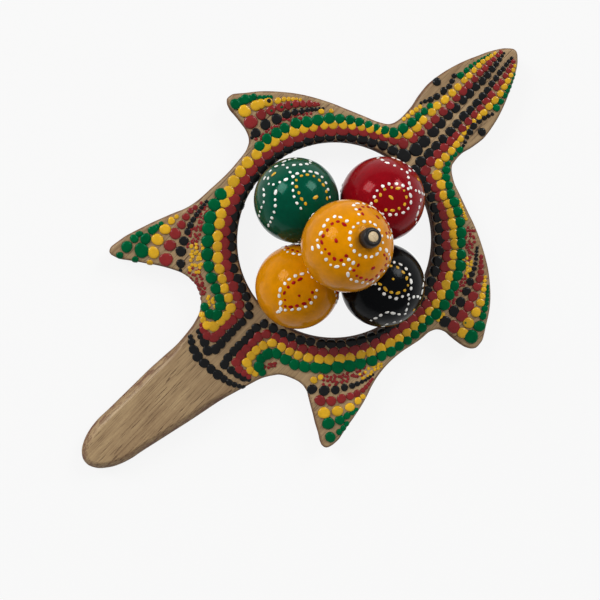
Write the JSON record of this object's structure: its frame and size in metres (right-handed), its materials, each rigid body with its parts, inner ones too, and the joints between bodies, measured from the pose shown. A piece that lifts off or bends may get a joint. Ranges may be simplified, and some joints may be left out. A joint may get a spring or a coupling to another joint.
{
  "type": "ball rattle",
  "caption": "Wooden turtle-shaped hand rattle: a flat board with a handle and a round hole that carries a dome of hollow lacquered balls with seeds inside.",
  "frame": {"origin": "centre of the plan box, on the board's flat back", "axes": "+X to the turtle's head, +Y to its left side, +Z out of the decorated front"},
  "size_m": [0.344, 0.2046, 0.0946],
  "materials": {
    "board_wood": "sanded light wood with painted dots",
    "dowel_wood": "bare pale wood",
    "black_collar": "black painted wood",
    "red_lacquer": "gloss red lacquer on wood",
    "green_lacquer": "gloss green lacquer on wood",
    "yellow_lacquer": "gloss yellow lacquer on wood",
    "black_lacquer": "gloss black lacquer on wood",
    "seed": "dry brown seeds"
  },
  "bodies": {
    "frame": {"turtle_board": "board_wood", "red_dowel": "dowel_wood", "green_dowel": "dowel_wood", "yellow_dowel": "dowel_wood", "black_dowel": "dowel_wood", "red_spacer": "black_collar", "green_spacer": "black_collar", "yellow_spacer": "black_collar", "black_spacer": "black_collar", "crown_ball_upper": "yellow_lacquer", "crown_ball_lower": "yellow_lacquer", "crown_collar": "black_collar", "crown_plug": "dowel_wood"},
    "red_ball": {"red_ball_inner": "red_lacquer", "red_ball_outer": "red_lacquer"},
    "red_seeds": {"red_seed_1": "seed", "red_seed_2": "seed", "red_seed_3": "seed", "red_seed_4": "seed", "red_seed_5": "seed"},
    "green_ball": {"green_ball_inner": "green_lacquer", "green_ball_outer": "green_lacquer"},
    "green_seeds": {"green_seed_1": "seed", "green_seed_2": "seed", "green_seed_3": "seed", "green_seed_4": "seed", "green_seed_5": "seed"},
    "yellow_ball": {"yellow_ball_inner": "yellow_lacquer", "yellow_ball_outer": "yellow_lacquer"},
    "yellow_seeds": {"yellow_seed_1": "seed", "yellow_seed_2": "seed", "yellow_seed_3": "seed", "yellow_seed_4": "seed", "yellow_seed_5": "seed"},
    "black_ball": {"black_ball_inner": "black_lacquer", "black_ball_outer": "black_lacquer"},
    "black_seeds": {"black_seed_1": "seed", "black_seed_2": "seed", "black_seed_3": "seed", "black_seed_4": "seed", "black_seed_5": "seed"},
    "crown_seeds": {"crown_seed_1": "seed", "crown_seed_2": "seed", "crown_seed_3": "seed", "crown_seed_4": "seed", "crown_seed_5": "seed"}
  },
  "joints": [
    {"name": "red_ball_spin", "type": "hinge", "parent": "frame", "child": "red_ball", "pos_m": [0.05571, 0.00108, 0.02938], "axis": [-0.7013, 0, 0.7129], "continuous": true},
    {"name": "red_seeds_roll", "type": "hinge", "parent": "frame", "child": "red_seeds", "pos_m": [0.05571, 0.00108, 0.02938], "axis": [-0.7013, 0, 0.7129], "continuous": true},
    {"name": "green_ball_spin", "type": "hinge", "parent": "frame", "child": "green_ball", "pos_m": [0.0217, 0.03509, 0.02938], "axis": [0, -0.7013, 0.7129], "continuous": true},
    {"name": "green_seeds_roll", "type": "hinge", "parent": "frame", "child": "green_seeds", "pos_m": [0.0217, 0.03509, 0.02938], "axis": [0, -0.7013, 0.7129], "continuous": true},
    {"name": "yellow_ball_spin", "type": "hinge", "parent": "frame", "child": "yellow_ball", "pos_m": [-0.01231, 0.00108, 0.02938], "axis": [0.7013, 0, 0.7129], "continuous": true},
    {"name": "yellow_seeds_roll", "type": "hinge", "parent": "frame", "child": "yellow_seeds", "pos_m": [-0.01231, 0.00108, 0.02938], "axis": [0.7013, 0, 0.7129], "continuous": true},
    {"name": "black_ball_spin", "type": "hinge", "parent": "frame", "child": "black_ball", "pos_m": [0.0217, -0.03293, 0.02938], "axis": [0, 0.7013, 0.7129], "continuous": true},
    {"name": "black_seeds_roll", "type": "hinge", "parent": "frame", "child": "black_seeds", "pos_m": [0.0217, -0.03293, 0.02938], "axis": [0, 0.7013, 0.7129], "continuous": true},
    {"name": "crown_seeds_jump", "type": "slide", "parent": "frame", "child": "crown_seeds", "axis": [0, 0, 1], "range_m": [0, 0.022]}
  ]
}
